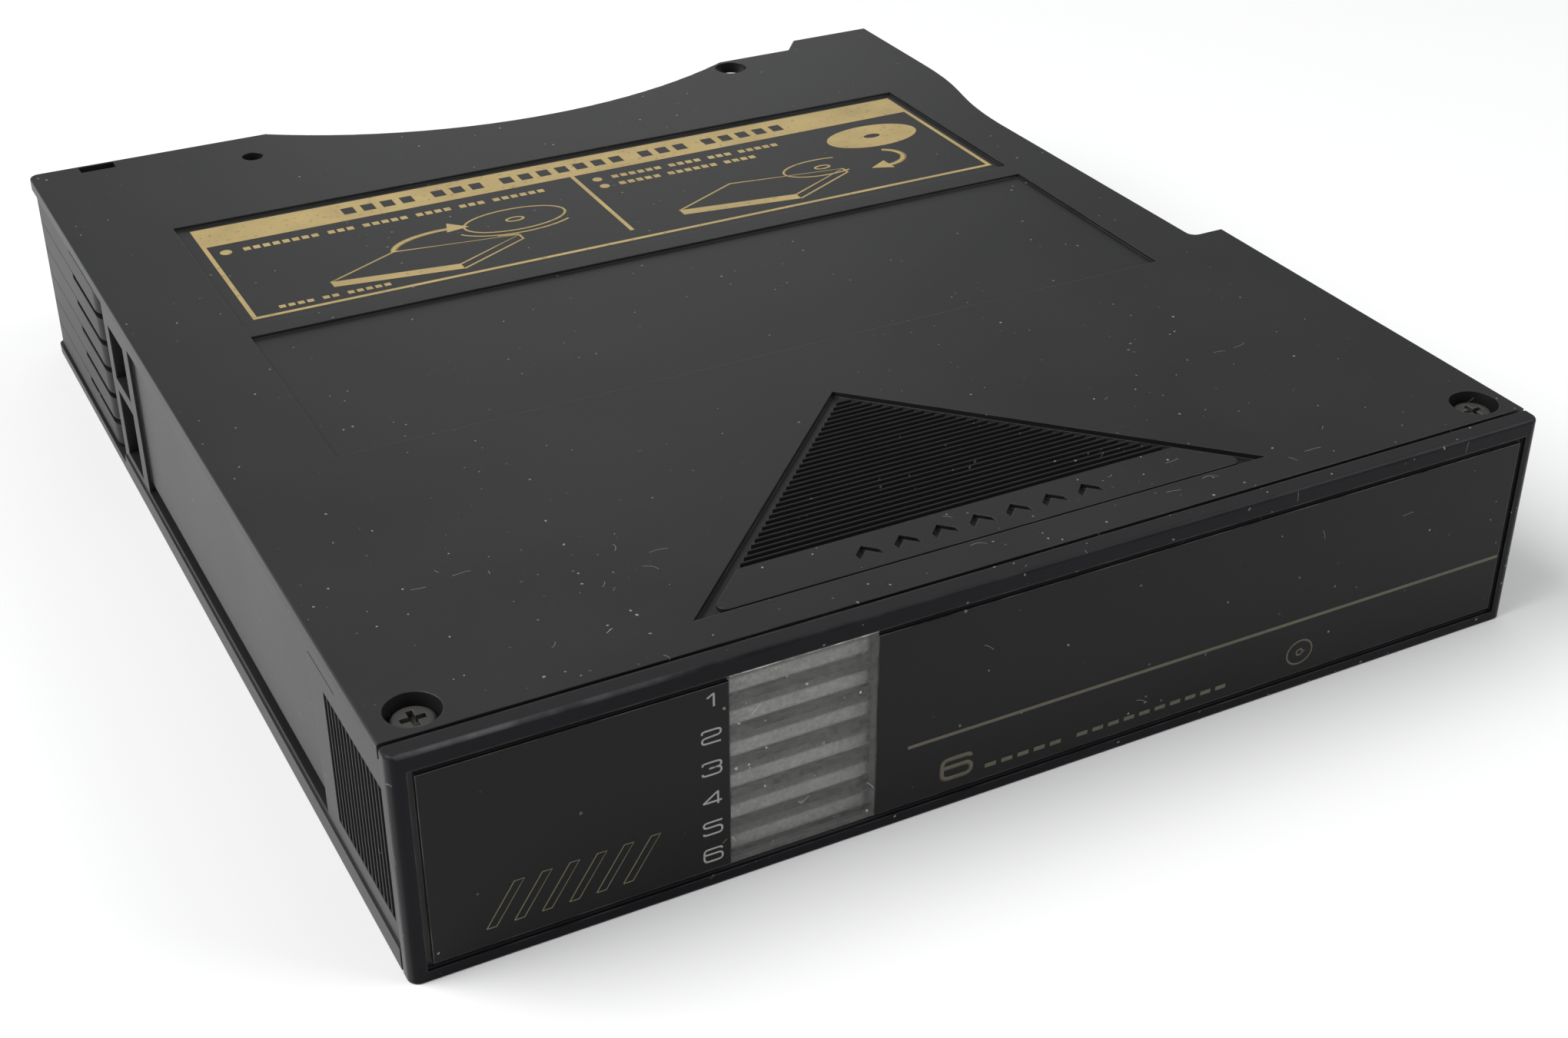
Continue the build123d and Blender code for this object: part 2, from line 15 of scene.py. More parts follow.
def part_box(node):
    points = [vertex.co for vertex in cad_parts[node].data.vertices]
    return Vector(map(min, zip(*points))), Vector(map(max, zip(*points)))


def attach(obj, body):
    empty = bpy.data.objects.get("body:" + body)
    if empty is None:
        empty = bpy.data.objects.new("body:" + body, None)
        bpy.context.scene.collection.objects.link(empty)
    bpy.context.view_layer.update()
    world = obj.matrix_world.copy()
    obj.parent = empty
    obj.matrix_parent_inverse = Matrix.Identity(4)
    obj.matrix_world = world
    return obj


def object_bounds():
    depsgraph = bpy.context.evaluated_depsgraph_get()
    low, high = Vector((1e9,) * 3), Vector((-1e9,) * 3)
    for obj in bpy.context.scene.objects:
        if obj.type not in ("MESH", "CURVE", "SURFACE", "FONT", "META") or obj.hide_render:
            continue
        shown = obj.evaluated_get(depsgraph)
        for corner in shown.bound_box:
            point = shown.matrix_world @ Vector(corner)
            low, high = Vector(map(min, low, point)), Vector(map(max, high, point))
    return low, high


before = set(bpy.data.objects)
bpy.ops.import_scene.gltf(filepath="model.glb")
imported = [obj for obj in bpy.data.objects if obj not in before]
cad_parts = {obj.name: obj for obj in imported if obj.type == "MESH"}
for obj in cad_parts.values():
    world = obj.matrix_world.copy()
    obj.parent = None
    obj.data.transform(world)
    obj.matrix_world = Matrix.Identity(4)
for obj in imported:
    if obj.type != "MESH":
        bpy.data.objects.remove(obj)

case_low, case_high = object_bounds()
MM = 0.001
case_size = (case_high - case_low) / MM
print("case in mm:", [round(side, 2) for side in case_size])

# %% [markdown]
# ## Places on the case
# A print is easiest to place as on a drawing: so many millimetres from the left side, from the
# labelled front and up from the underside. One small function turns such a place into the
# frame's metres. The height of a printed surface is read from the frame's own boxes.

# %% A place in millimetres
def place(across, back, up):
    """Point of the frame for millimetres from the left side, from the front and from below."""
    return Vector((case_low.x + across * MM, case_low.y + back * MM, case_low.z + up * MM))


def node_box(node):
    """Lowest and highest corner of a node in millimetres from the case's left front bottom."""
    low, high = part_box(node)
    return (low - case_low) / MM, (high - case_low) / MM


panel_face = node_box("front_panel")[0].y
window_low, window_high = node_box("index_window")
print("panel face behind the front, mm:", round(panel_face, 3))

# %% [markdown]
# ## Camera
# The photograph is a close three-quarter view from above the front left corner. Its vanishing
# lines give the camera's place and turn, and the case's known size gives the distance. The lens
# is kept as it was found, so that straight edges converge as they do in the picture.

# %% Camera
camera_data = bpy.data.cameras.new("camera")
camera_data.lens = 51.525
camera_data.sensor_width = 36.0
camera_data.clip_start = 0.01
camera = bpy.data.objects.new("camera", camera_data)
camera.location = (-0.12046, -0.25155, 0.16142)
camera.rotation_euler = Euler((radians(58.641), radians(-0.098), radians(-27.748)))
bpy.context.scene.collection.objects.link(camera)
bpy.context.scene.camera = camera
print("camera above the floor, mm:", round((camera.location.z - case_low.z) / MM, 1))

# %% [markdown]
# ## Floor and light
# The case lies on a plain pale surface. Black plastic shows little light of its own and mostly
# mirrors its surroundings: the pale floor in its left side, the dimmer room behind in its top. So
# the world is a soft grey, one large lamp from the upper left lights floor and case, and a weak
# one from the right keeps the recesses readable. A third one hangs low behind the case, where it
# gives the rear half of the top its broad sheen. The plain view transform keeps near-black tones
# as they are, where the filmic one would lift them to grey.

# %% Floor
def new_look(name, settings):
    """New material and its shader, with plain values set on the shader's own sockets."""
    look = bpy.data.materials.new(name)
    look.use_nodes = True
    shader = look.node_tree.nodes["Principled BSDF"]
    for label, value in settings.items():
        shader.inputs[label].default_value = value
    return look, shader


floor_side = 6.0
floor_gap = 0.1
bpy.ops.mesh.primitive_plane_add(size=floor_side, location=(0, 0, case_low.z - floor_gap * MM))
floor = bpy.context.object
floor.name = "floor"
floor_look, _ = new_look("floor_look", {"Base Color": (0.95, 0.95, 0.945, 1), "Roughness": 0.8})
floor.data.materials.append(floor_look)
print("floor below the case, mm:", floor_gap)

# %% Light
bpy.context.scene.view_settings.view_transform = "Standard"
world = bpy.data.worlds.new("studio")
bpy.context.scene.world = world
world.use_nodes = True
world.node_tree.nodes["Background"].inputs["Color"].default_value = (0.97, 0.985, 1.0, 1)
world.node_tree.nodes["Background"].inputs["Strength"].default_value = 0.34


def soft_lamp(name, spot, aim, across, power):
    """Square area lamp at a spot, turned to face a point."""
    data = bpy.data.lights.new(name, "AREA")
    data.shape = "SQUARE"
    data.size = across
    data.energy = power
    lamp = bpy.data.objects.new(name, data)
    lamp.location = spot
    lamp.rotation_euler = (Vector(spot) - Vector(aim)).to_track_quat("Z", "Y").to_euler()
    bpy.context.scene.collection.objects.link(lamp)


middle = (case_low + case_high) / 2
soft_lamp("key_lamp", (-0.75, 0.15, 0.9), middle, across=0.9, power=14)
soft_lamp("fill_lamp", (0.8, -0.5, 0.7), middle, across=0.7, power=4.5)
soft_lamp("sheen_lamp", (0.45, 1.15, 0.44), middle, across=0.5, power=0.42)

# %% [markdown]
# ## Effects that several finishes share
# Moulded plastic has a fine spark-eroded grain, and soft edges a few tenths of a millimetre across
# that hands and machines have rubbed lighter. Dust settles on it as ragged specks and short bent
# fibres. Each effect is a node group that is built once and puts out only values or normals. The
# shader itself stays in each material.

# %% A group of shader nodes
def new_group(name, inputs, outputs):
    """Empty shader group with named number inputs and the given outputs."""
    group = bpy.data.node_groups.new(name, "ShaderNodeTree")
    for label, value in inputs.items():
        socket = group.interface.new_socket(label, in_out="INPUT", socket_type="NodeSocketFloat")
        socket.default_value = value
    for label, kind in outputs.items():
        group.interface.new_socket(label, in_out="OUTPUT", socket_type=kind)
    return group, group.nodes.new("NodeGroupInput"), group.nodes.new("NodeGroupOutput")


def feed(tree, socket, value):
    """Link another socket to this one, or set a plain value on it."""
    if isinstance(value, bpy.types.NodeSocket):
        tree.links.new(value, socket)
    else:
        socket.default_value = value


print("groups so far:", len(bpy.data.node_groups))

# %% Noise held in a range
def ramp(tree, value, low, high, out_low=0.0, out_high=1.0):
    """Value stretched from one range to another and held inside it."""
    node = tree.nodes.new("ShaderNodeMapRange")
    settings = {"Value": value, "From Min": low, "From Max": high, "To Min": out_low, "To Max": out_high}
    for label, setting in settings.items():
        feed(tree, node.inputs[label], setting)
    return node.outputs["Result"]


def object_place(tree):
    """Object coordinates, which are the frame's metres on every piece."""
    return tree.nodes.new("ShaderNodeTexCoord").outputs["Object"]


def noise(tree, scale, detail):
    """Noise texture on the piece; the scale is a number or a socket, in waves per metre."""
    node = tree.nodes.new("ShaderNodeTexNoise")
    for label, value in {"Vector": object_place(tree), "Scale": scale, "Detail": detail}.items():
        feed(tree, node.inputs[label], value)
    return node.outputs["Fac"]


def patches(tree, scale, detail, low, high, out_low=0.0, out_high=1.0):
    """Cloudy patches: noise stretched from one range to another and held inside it."""
    return ramp(tree, noise(tree, scale, detail), low, high, out_low, out_high)


plastic_waves = 3000.0
print("grain size, mm:", round(1 / plastic_waves / MM, 2))

# %% Moulded grain: fine bumps and cloudy patches
grain_group, grain_in, grain_out = new_group(
    "moulded_grain",
    {"Waves": plastic_waves},
    {"Height": "NodeSocketFloat", "Tone": "NodeSocketFloat"},
)
grain_group.links.new(noise(grain_group, grain_in.outputs["Waves"], 3.0), grain_out.inputs["Height"])
grain_group.links.new(patches(grain_group, 45.0, 4.0, 0.35, 0.65), grain_out.inputs["Tone"])
print("grain group nodes:", len(grain_group.nodes))

# %% Soft and rubbed edges
def maths(tree, operation, first, second=0.0, third=0.0):
    """Math node fed by sockets or plain numbers; gives its result socket."""
    node = tree.nodes.new("ShaderNodeMath")
    node.operation = operation
    for socket, value in zip(node.inputs, (first, second, third)):
        feed(tree, socket, value)
    return node.outputs[0]


def product(tree, first, *others):
    """Sockets or plain numbers multiplied with each other."""
    for value in others:
        first = maths(tree, "MULTIPLY", first, value)
    return first


def vector_maths(tree, operation, *values):
    """Vector math node fed by sockets or plain triples."""
    node = tree.nodes.new("ShaderNodeVectorMath")
    node.operation = operation
    for socket, value in zip(node.inputs, values):
        feed(tree, socket, value)
    return node.outputs["Value" if operation in ("DOT_PRODUCT", "LENGTH") else "Vector"]


edge_group, edge_in, edge_out = new_group(
    "soft_edges",
    {"Radius": 0.0002},
    {"Rub": "NodeSocketFloat", "Normal": "NodeSocketVector"},
)
bevel = edge_group.nodes.new("ShaderNodeBevel")
bevel.samples = 6
edge_group.links.new(edge_in.outputs["Radius"], bevel.inputs["Radius"])
flat = edge_group.nodes.new("ShaderNodeNewGeometry")
facing = vector_maths(edge_group, "DOT_PRODUCT", bevel.outputs["Normal"], flat.outputs["Normal"])
turned = ramp(edge_group, maths(edge_group, "SUBTRACT", 1.0, facing), 0.02, 0.3)
scuffs = patches(edge_group, 220.0, 3.0, 0.3, 0.75)
edge_group.links.new(product(edge_group, turned, scuffs), edge_out.inputs["Rub"])
edge_group.links.new(bevel.outputs["Normal"], edge_out.inputs["Normal"])
print("edge group nodes:", len(edge_group.nodes))

# %% Short bent fibres
# How far a fibre sways, how sharply it bends at most (per metre), how wide its core and its
# soft edge are, and half its length with what chance adds to it.
fibre_sway = 1.2 * MM
fibre_curve = 800.0
fibre_core, fibre_edge = 0.02 * MM, 0.045 * MM
fibre_reach, fibre_reach_more = 0.4 * MM, 0.8 * MM


def wobbled(tree, coordinates, scale, reach):
    """Coordinates pushed about by noise, so that what is drawn on them gets bent or ragged."""
    node = tree.nodes.new("ShaderNodeTexNoise")
    node.inputs["Scale"].default_value = scale
    tree.links.new(coordinates, node.inputs["Vector"])
    return vector_maths(tree, "MULTIPLY_ADD", node.outputs["Color"], (reach, reach, reach), coordinates)


def scatter(tree, coordinates, scale):
    """Random cells: the texture's outputs, and three random numbers for each cell."""
    cells = tree.nodes.new("ShaderNodeTexVoronoi")
    cells.inputs["Scale"].default_value = scale
    tree.links.new(coordinates, cells.inputs["Vector"])
    draws = tree.nodes.new("ShaderNodeSeparateColor")
    tree.links.new(cells.outputs["Color"], draws.inputs["Color"])
    return cells.outputs, draws.outputs


def stray_fibres(tree, scale, shift, amount):
    """One short bent fibre in some of the cells, each with its own direction and bend.

    A cell's random colour gives the direction across its fibre, its bend and its length. The
    fibre is what lies near a curve through the cell's middle and within reach of that middle.
    """
    moved = wobbled(tree, object_place(tree), 300.0, fibre_sway)
    moved = vector_maths(tree, "ADD", moved, shift)
    cells, draws = scatter(tree, moved, scale)
    offset = vector_maths(tree, "SUBTRACT", moved, cells["Position"])
    centred = vector_maths(tree, "SUBTRACT", cells["Color"], (0.5, 0.5, 0.5))
    aside = vector_maths(tree, "NORMALIZE", centred)
    along = vector_maths(tree, "CROSS_PRODUCT", aside, (0.31, 0.17, 0.93))
    run = vector_maths(tree, "DOT_PRODUCT", offset, vector_maths(tree, "NORMALIZE", along))
    curve = maths(tree, "MULTIPLY_ADD", draws["Red"], 2 * fibre_curve, -fibre_curve)
    bend = product(tree, run, run, curve)
    away = maths(tree, "ADD", vector_maths(tree, "DOT_PRODUCT", offset, aside), bend)
    thin = ramp(tree, maths(tree, "ABSOLUTE", away), fibre_core, fibre_edge, 1.0, 0.0)
    reach = maths(tree, "MULTIPLY_ADD", draws["Green"], fibre_reach_more, fibre_reach)
    short = maths(tree, "LESS_THAN", vector_maths(tree, "LENGTH", offset), reach)
    chosen = maths(tree, "LESS_THAN", draws["Blue"], amount)
    return product(tree, thin, short, chosen)


longest = fibre_reach + fibre_reach_more
print("fibre length, mm:", round(2 * fibre_reach / MM, 1), "to", round(2 * longest / MM, 1))

# %% Dust: ragged specks and the fibres, thicker towards the front
# A speck's radius is a share of its cell. Radius and tone each have a least value and what
# chance adds to it. Near the front more cells hold a speck, further back fewer.
speck_ragged = 0.4 * MM
speck_radius, speck_radius_more = 0.05, 0.1
speck_tone, speck_tone_more = 0.12, 0.5
fibre_tone = 0.5
front_dust, rear_dust, dust_fade = 1.7, 0.7, 50 * MM


def object_axes(tree):
    """The three object coordinates as single numbers."""
    node = tree.nodes.new("ShaderNodeSeparateXYZ")
    tree.links.new(object_place(tree), node.inputs["Vector"])
    return node.outputs["X"], node.outputs["Y"], node.outputs["Z"]


dust_group, dust_in, dust_out = new_group(
    "dust", {"Specks": 0.1, "Fibres": 0.3}, {"Mask": "NodeSocketFloat"}
)
_, depth_axis, _ = object_axes(dust_group)
settled = ramp(dust_group, depth_axis, case_low.y, case_low.y + dust_fade, front_dust, rear_dust)
drift = product(dust_group, patches(dust_group, 30.0, 2.0, 0.35, 0.65, 0.3, 1.6), settled)
ragged = wobbled(dust_group, object_place(dust_group), 2600.0, speck_ragged)
cells, draws = scatter(dust_group, ragged, 850.0)
radius = maths(dust_group, "MULTIPLY_ADD", draws["Green"], speck_radius_more, speck_radius)
near = maths(dust_group, "LESS_THAN", cells["Distance"], radius)
share = product(dust_group, dust_in.outputs["Specks"], drift)
chosen = maths(dust_group, "LESS_THAN", draws["Red"], share)
tone = maths(dust_group, "MULTIPLY_ADD", draws["Blue"], speck_tone_more, speck_tone)
specks = product(dust_group, near, chosen, tone)
amount = product(dust_group, dust_in.outputs["Fibres"], drift)
long_ones = stray_fibres(dust_group, 120.0, (0, 0, 0), amount)
more_ones = stray_fibres(dust_group, 190.0, (0.3, 0.2, 0.1), amount)
fibres = product(dust_group, maths(dust_group, "MAXIMUM", long_ones, more_ones), fibre_tone)
dust_group.links.new(maths(dust_group, "MAXIMUM", specks, fibres), dust_out.inputs["Mask"])
print("dust group nodes:", len(dust_group.nodes))

# %% [markdown]
# ## Black plastics
# The case, the cover, the bezel, the panel and the trays are all black, yet none looks like the
# next: they differ in grain, gloss and dust. One function builds such a finish, and each call
# states how this surface differs. Films mark where a surface isn't the same all over: painted
# shade darkens the ribbed grip and the emblem's ribs, a painted sheen lightens the bezel's top and
# left side, and dust lies in the groove around the panel. The bezel's front edges also carry a
# patchy painted highlight, brightest at the left corner.

# %% Ribbed zones with painted shade: darker and duller
# In millimetres, and further than any side of the case reaches.
beyond = 100.0


def zone(tree, front, rear, half_front=beyond, half_rear=beyond, low=-1.0, high=beyond, shift=0.0):
    """1 between two depths and heights of the case, within a half width that may narrow."""
    width_axis, depth_axis, height_axis = object_axes(tree)
    near, far = place(case_size.x / 2 + shift, front, low), place(0, rear, high)
    half = ramp(tree, depth_axis, near.y, far.y, half_front * MM, half_rear * MM)
    across = maths(tree, "ABSOLUTE", maths(tree, "SUBTRACT", width_axis, near.x))
    inside = maths(tree, "LESS_THAN", across, half)
    for value, start, end in ((depth_axis, near.y, far.y), (height_axis, near.z, far.z)):
        inside = product(tree, inside, maths(tree, "GREATER_THAN", value, start),
                         maths(tree, "LESS_THAN", value, end))
    return inside


def grip_painted_shade(tree):
    """1 on the grip's grooves and ribs, which get a painted shade."""
    return zone(tree, front=3.8, rear=22.4, low=5.7, high=23.1)


def ribs_painted_shade(tree):
    """1 on the ribbed part of the emblem, a triangle, which gets a painted shade."""
    return zone(tree, front=14.9, rear=44.4, half_front=29.2, half_rear=0.0, shift=0.4)


print("dull zones:", grip_painted_shade.__name__, ribs_painted_shade.__name__)

# %% Painted sheen, dust in the groove and painted rim highlight at the front
def from_front(tree):
    """Distances behind the front, in from the nearer of top and left side, and from the left."""
    width_axis, depth_axis, height_axis = object_axes(tree)
    behind = maths(tree, "SUBTRACT", depth_axis, case_low.y)
    below = maths(tree, "SUBTRACT", case_high.z, height_axis)
    beside = maths(tree, "SUBTRACT", width_axis, case_low.x)
    return behind, maths(tree, "MINIMUM", below, beside), beside


def bezel_painted_sheen(tree):
    """1 on the bezel's top and left side, which a painted sheen lightens."""
    behind, inward, _ = from_front(tree)
    near = ramp(tree, inward, 0.25 * MM, 0.5 * MM, 1.0, 0.0)
    return product(tree, near, ramp(tree, behind, 0.15 * MM, 0.35 * MM))


def groove_dust(tree):
    """1 inside the groove around the panel."""
    behind, inward, _ = from_front(tree)
    return product(tree, ramp(tree, inward, 1.0 * MM, 1.3 * MM), ramp(tree, behind, 0.3 * MM, 0.6 * MM))


def rim_painted_highlight(tree):
    """Patchy painted highlight along the front edges, fading away from the left corner."""
    behind, inward, beside = from_front(tree)
    rim = ramp(tree, maths(tree, "ADD", behind, inward), 0.3 * MM, 0.5 * MM, 1.0, 0.0)
    patchy = patches(tree, 160.0, 4.0, 0.35, 0.65, 0.25, 1.0)
    fade = ramp(tree, beside, 8 * MM, 40 * MM, 1.0, 0.1)
    return product(tree, patchy, fade, rim)


groove_film = (groove_dust, (0.06, 0.06, 0.058), 0.2, 0.0)
print("masks at the front:", bezel_painted_sheen.__name__, groove_dust.__name__, rim_painted_highlight.__name__)

# %% One function for the moulded plastics
patch_contrast = 1.5
dust_dullness = 0.4
dust_colour = (0.36, 0.35, 0.33)


def blend(tree, below, above, mask):
    """Colour that goes from one to the other by a mask; colours are sockets or tuples."""
    node = tree.nodes.new("ShaderNodeMix")
    node.data_type = "RGBA"
    for socket, value in ((node.inputs[6], below), (node.inputs[7], above)):
        feed(tree, socket, (*value, 1) if isinstance(value, tuple) else value)
    tree.links.new(mask, node.inputs[0])
    return node.outputs[2]


def use_group(tree, group, **values):
    """Group node placed in a material with its own values."""
    node = tree.nodes.new("ShaderNodeGroup")
    node.node_tree = group
    for label, value in values.items():
        node.inputs[label].default_value = value
    return node


def plastic(name, colour, rubbed, roughness, specular, grain_depth=0.006, radius=0.2,
            specks=0.16, fibres=0.42, uneven=0.015, films=(), paint_rim_highlight=False):
    """Moulded plastic: grain depth and edge radius are in millimetres.

    Each film is a mask function, its colour, how much rougher it is and how much rub it hides.
    """
    look, shader = new_look(name, {"Specular IOR Level": specular})
    tree = look.node_tree
    grain = use_group(tree, grain_group, Waves=plastic_waves)
    edges = use_group(tree, edge_group, Radius=radius * MM)
    dusty = use_group(tree, dust_group, Specks=specks, Fibres=fibres).outputs["Mask"]
    paler = tuple(patch_contrast * part for part in colour)
    body = blend(tree, colour, paler, grain.outputs["Tone"])
    gloss = ramp(tree, grain.outputs["Tone"], 0.0, 1.0, roughness - uneven, roughness + uneven)
    rub = edges.outputs["Rub"]
    for mask, tint, duller, less_rub in films:
        inside = mask(tree)
        body = blend(tree, body, tint, inside)
        gloss = maths(tree, "MULTIPLY_ADD", inside, duller, gloss)
        rub = product(tree, rub, maths(tree, "MULTIPLY_ADD", inside, -less_rub, 1.0))
    # On the bezel a painted highlight along the front rim joins the rub and is drawn in the rubbed
    # colour.
    if paint_rim_highlight:
        rub = maths(tree, "MAXIMUM", rub, rim_painted_highlight(tree))
    worn = blend(tree, body, rubbed, rub)
    gloss = maths(tree, "ADD", gloss, product(tree, dusty, dust_dullness))
    tree.links.new(blend(tree, worn, dust_colour, dusty), shader.inputs["Base Color"])
    tree.links.new(gloss, shader.inputs["Roughness"])
    bump = tree.nodes.new("ShaderNodeBump")
    bump.inputs["Distance"].default_value = grain_depth * MM
    bump.inputs["Strength"].default_value = 1.0
    tree.links.new(grain.outputs["Height"], bump.inputs["Height"])
    tree.links.new(edges.outputs["Normal"], bump.inputs["Normal"])
    tree.links.new(bump.outputs["Normal"], shader.inputs["Normal"])
    return look


print("dust colour:", dust_colour)

# %% Seven plastics
# The grip and the emblem's ribs get painted shade: a near-black colour standing in for the shade deep in
# their grooves.
case_plastic = plastic("case_plastic", (0.009, 0.009, 0.0095), (0.07, 0.07, 0.07), 0.42, 0.41,
                       films=[(grip_painted_shade, (0.003, 0.003, 0.003), 0.2, 0.5)])
cover_plastic = plastic("cover_plastic", (0.009, 0.009, 0.009), (0.09, 0.09, 0.09), 0.44, 0.42,
                        grain_depth=0.009, specks=0.24,
                        films=[(ribs_painted_shade, (0.0015, 0.0015, 0.0015), 0.3, 0.7)])
# The bezel's lighter film on its top and left side is a painted sheen; its rubbed colour also paints the
# highlight along its front rim.
bezel_plastic = plastic("bezel_plastic", (0.005, 0.005, 0.0065), (0.13, 0.13, 0.135), 0.27, 0.09,
                        grain_depth=0.003, radius=0.25, uneven=0.04, paint_rim_highlight=True,
                        films=[(bezel_painted_sheen, (0.02, 0.02, 0.021), 0.0, 0.0), groove_film])
panel_plastic = plastic("panel_plastic", (0.0032, 0.0032, 0.0032), (0.3, 0.3, 0.29), 0.28, 0.16,
                        grain_depth=0.002, radius=0.22, specks=0.05, fibres=0.1, uneven=0.05,
                        films=[groove_film])
tray_plastic = plastic("tray_plastic", (0.007, 0.007, 0.0075), (0.05, 0.05, 0.05), 0.45, 0.27)
guide_plastic = plastic("guide_plastic", (0.02, 0.02, 0.02), (0.06, 0.06, 0.06), 0.5, 0.5)
washer_plastic = plastic("washer_plastic", (0.55, 0.54, 0.5), (0.6, 0.6, 0.56), 0.4, 0.5)
print("plastics:", len([look for look in bpy.data.materials if look.name.endswith("plastic")]))

# %% [markdown]
# ## Steel
# The shaft and the springs are bright steel, and the cover screws are blackened steel whose rims
# have been rubbed and gathered dust. Drawn and turned steel is never evenly polished, so its
# roughness follows a very fine grain.

# %% Steel finishes
steel_waves = 6000.0
steel_edge = 0.15
steel_uneven = 0.1


def steel(name, colour, rubbed, roughness, metallic=1.0):
    """Metal with a finely uneven polish and rubbed edges."""
    look, shader = new_look(name, {"Metallic": metallic})
    tree = look.node_tree
    grain = use_group(tree, grain_group, Waves=steel_waves)
    edges = use_group(tree, edge_group, Radius=steel_edge * MM)
    polish = ramp(tree, grain.outputs["Height"], 0.2, 0.8, roughness - steel_uneven,
                  roughness + steel_uneven)
    tree.links.new(blend(tree, colour, rubbed, edges.outputs["Rub"]), shader.inputs["Base Color"])
    tree.links.new(polish, shader.inputs["Roughness"])
    tree.links.new(edges.outputs["Normal"], shader.inputs["Normal"])
    return look


shaft_steel = steel("shaft_steel", (0.55, 0.55, 0.54), (0.7, 0.7, 0.69), 0.3)
spring_steel = steel("spring_steel", (0.45, 0.44, 0.42), (0.65, 0.64, 0.62), 0.35)
screw_steel = steel("screw_steel", (0.07, 0.068, 0.064), (0.34, 0.32, 0.29), 0.5, 0.5)
print("steels:", shaft_steel.name, spring_steel.name, screw_steel.name)

# %% [markdown]
# ## Index window and strips
# Behind a smoky, slightly gritty window six light strips show which trays are in. The window
# lets about two thirds of the light through and veils the rest with its own grey, and lint has
# gathered along its upper rim. The strips' edges look soft through it, so the strip's own tone
# fades within its outer three tenths of a millimetre. It fades by height within one tray pitch,
# because the strips repeat at that pitch.

# %% Window finish
# How far the visible lens ends below the hidden flange, and where the lint along its rim starts
# and is thickest, all in millimetres.
lens_drop = 0.75
lint_depth, lint_fade = 0.24, 0.12
window_dust = 1.5


def window_look():
    """Smoky window: a grey veil with grit, dust and lint, and the rest clear."""
    look, shader = new_look("window_plastic", {"Roughness": 0.35})
    tree = look.node_tree
    _, _, height_axis = object_axes(tree)
    dust = use_group(tree, dust_group, Specks=0.45, Fibres=0.6)
    rim = place(0, 0, window_high.z - lens_drop).z
    near_rim = ramp(tree, height_axis, rim - lint_depth * MM, rim - lint_fade * MM)
    lint = product(tree, near_rim, patches(tree, 500.0, 3.0, 0.35, 0.65, 0.3, 1.0))
    dirt = maths(tree, "MAXIMUM", product(tree, dust.outputs["Mask"], window_dust), lint)
    grit = patches(tree, 1700.0, 4.0, 0.35, 0.65, 0.22, 0.42)
    clouds = patches(tree, 260.0, 4.0, 0.3, 0.7, -0.03, 0.05)
    veil = maths(tree, "ADD", grit, clouds)
    tree.links.new(maths(tree, "MAXIMUM", veil, dirt), shader.inputs["Alpha"])
    tree.links.new(blend(tree, (0.165, 0.165, 0.16), (0.6, 0.59, 0.5), dirt), shader.inputs["Base Color"])
    look.surface_render_method = "BLENDED"
    return look


window_plastic = window_look()
print("window height, mm:", round(window_high.z - window_low.z, 2))

# %% Strip finish
# Millimetres over which a strip fades at its upper and lower edge, and along its right end.
strip_low, strip_high = node_box("index_strip_6")
tray_pitch = node_box("index_strip_5")[0].z - strip_low.z
strip_fade = 0.3
tail_start, tail_length = 1.3, 0.6


def strip_look():
    """Off-white strip whose upper, lower and right edges fade."""
    look, shader = new_look("strip_plastic", {"Roughness": 0.6})
    tree = look.node_tree
    width_axis, _, height_axis = object_axes(tree)
    above = maths(tree, "SUBTRACT", height_axis, place(0, 0, strip_low.z).z)
    level = maths(tree, "MODULO", maths(tree, "ADD", above, tray_pitch * MM / 4), tray_pitch * MM)
    half = (strip_high.z - strip_low.z) / 2
    centre = tray_pitch / 4 + half
    off_centre = maths(tree, "ABSOLUTE", maths(tree, "SUBTRACT", level, centre * MM))
    bright = ramp(tree, off_centre, (half - strip_fade) * MM, half * MM, 1.0, 0.5)
    end = place(strip_high.x - tail_start, 0, 0).x
    tail = ramp(tree, width_axis, end, end + tail_length * MM, 1.0, 0.25)
    mottle = patches(tree, 900.0, 3.0, 0.3, 0.7, 0.9, 1.0)
    tone = product(tree, bright, tail, mottle)
    tree.links.new(blend(tree, (0.02, 0.02, 0.02), (0.73, 0.72, 0.69), tone), shader.inputs["Base Color"])
    return look


strip_plastic = strip_look()
print("tray pitch, mm:", round(tray_pitch, 3))

# %% Dress the solids
looks = {
    "base_case": case_plastic, "top_cover": cover_plastic, "front_bezel": bezel_plastic,
    "front_panel": panel_plastic, "index_window": window_plastic, "tray_guide": guide_plastic,
    "detent_spring": spring_steel, "hub_spring": spring_steel, "pivot_shaft": shaft_steel,
    "hub_washers": washer_plastic, "cover_screws": screw_steel,
}
for node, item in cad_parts.items():
    look = looks.get(node, strip_plastic if node.startswith("index_strip") else tray_plastic)
    for slot in item.material_slots:
        slot.material = look
    if not item.material_slots:
        item.data.materials.append(look)
print("dressed nodes:", len(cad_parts))

# %% [markdown]
# ## Inks
# The label is printed in pale gold, the line on the panel in a dull one, the numbers in light
# grey. Ink lies on the plastic with a matt, slightly uneven surface and small gaps where it has
# rubbed off.

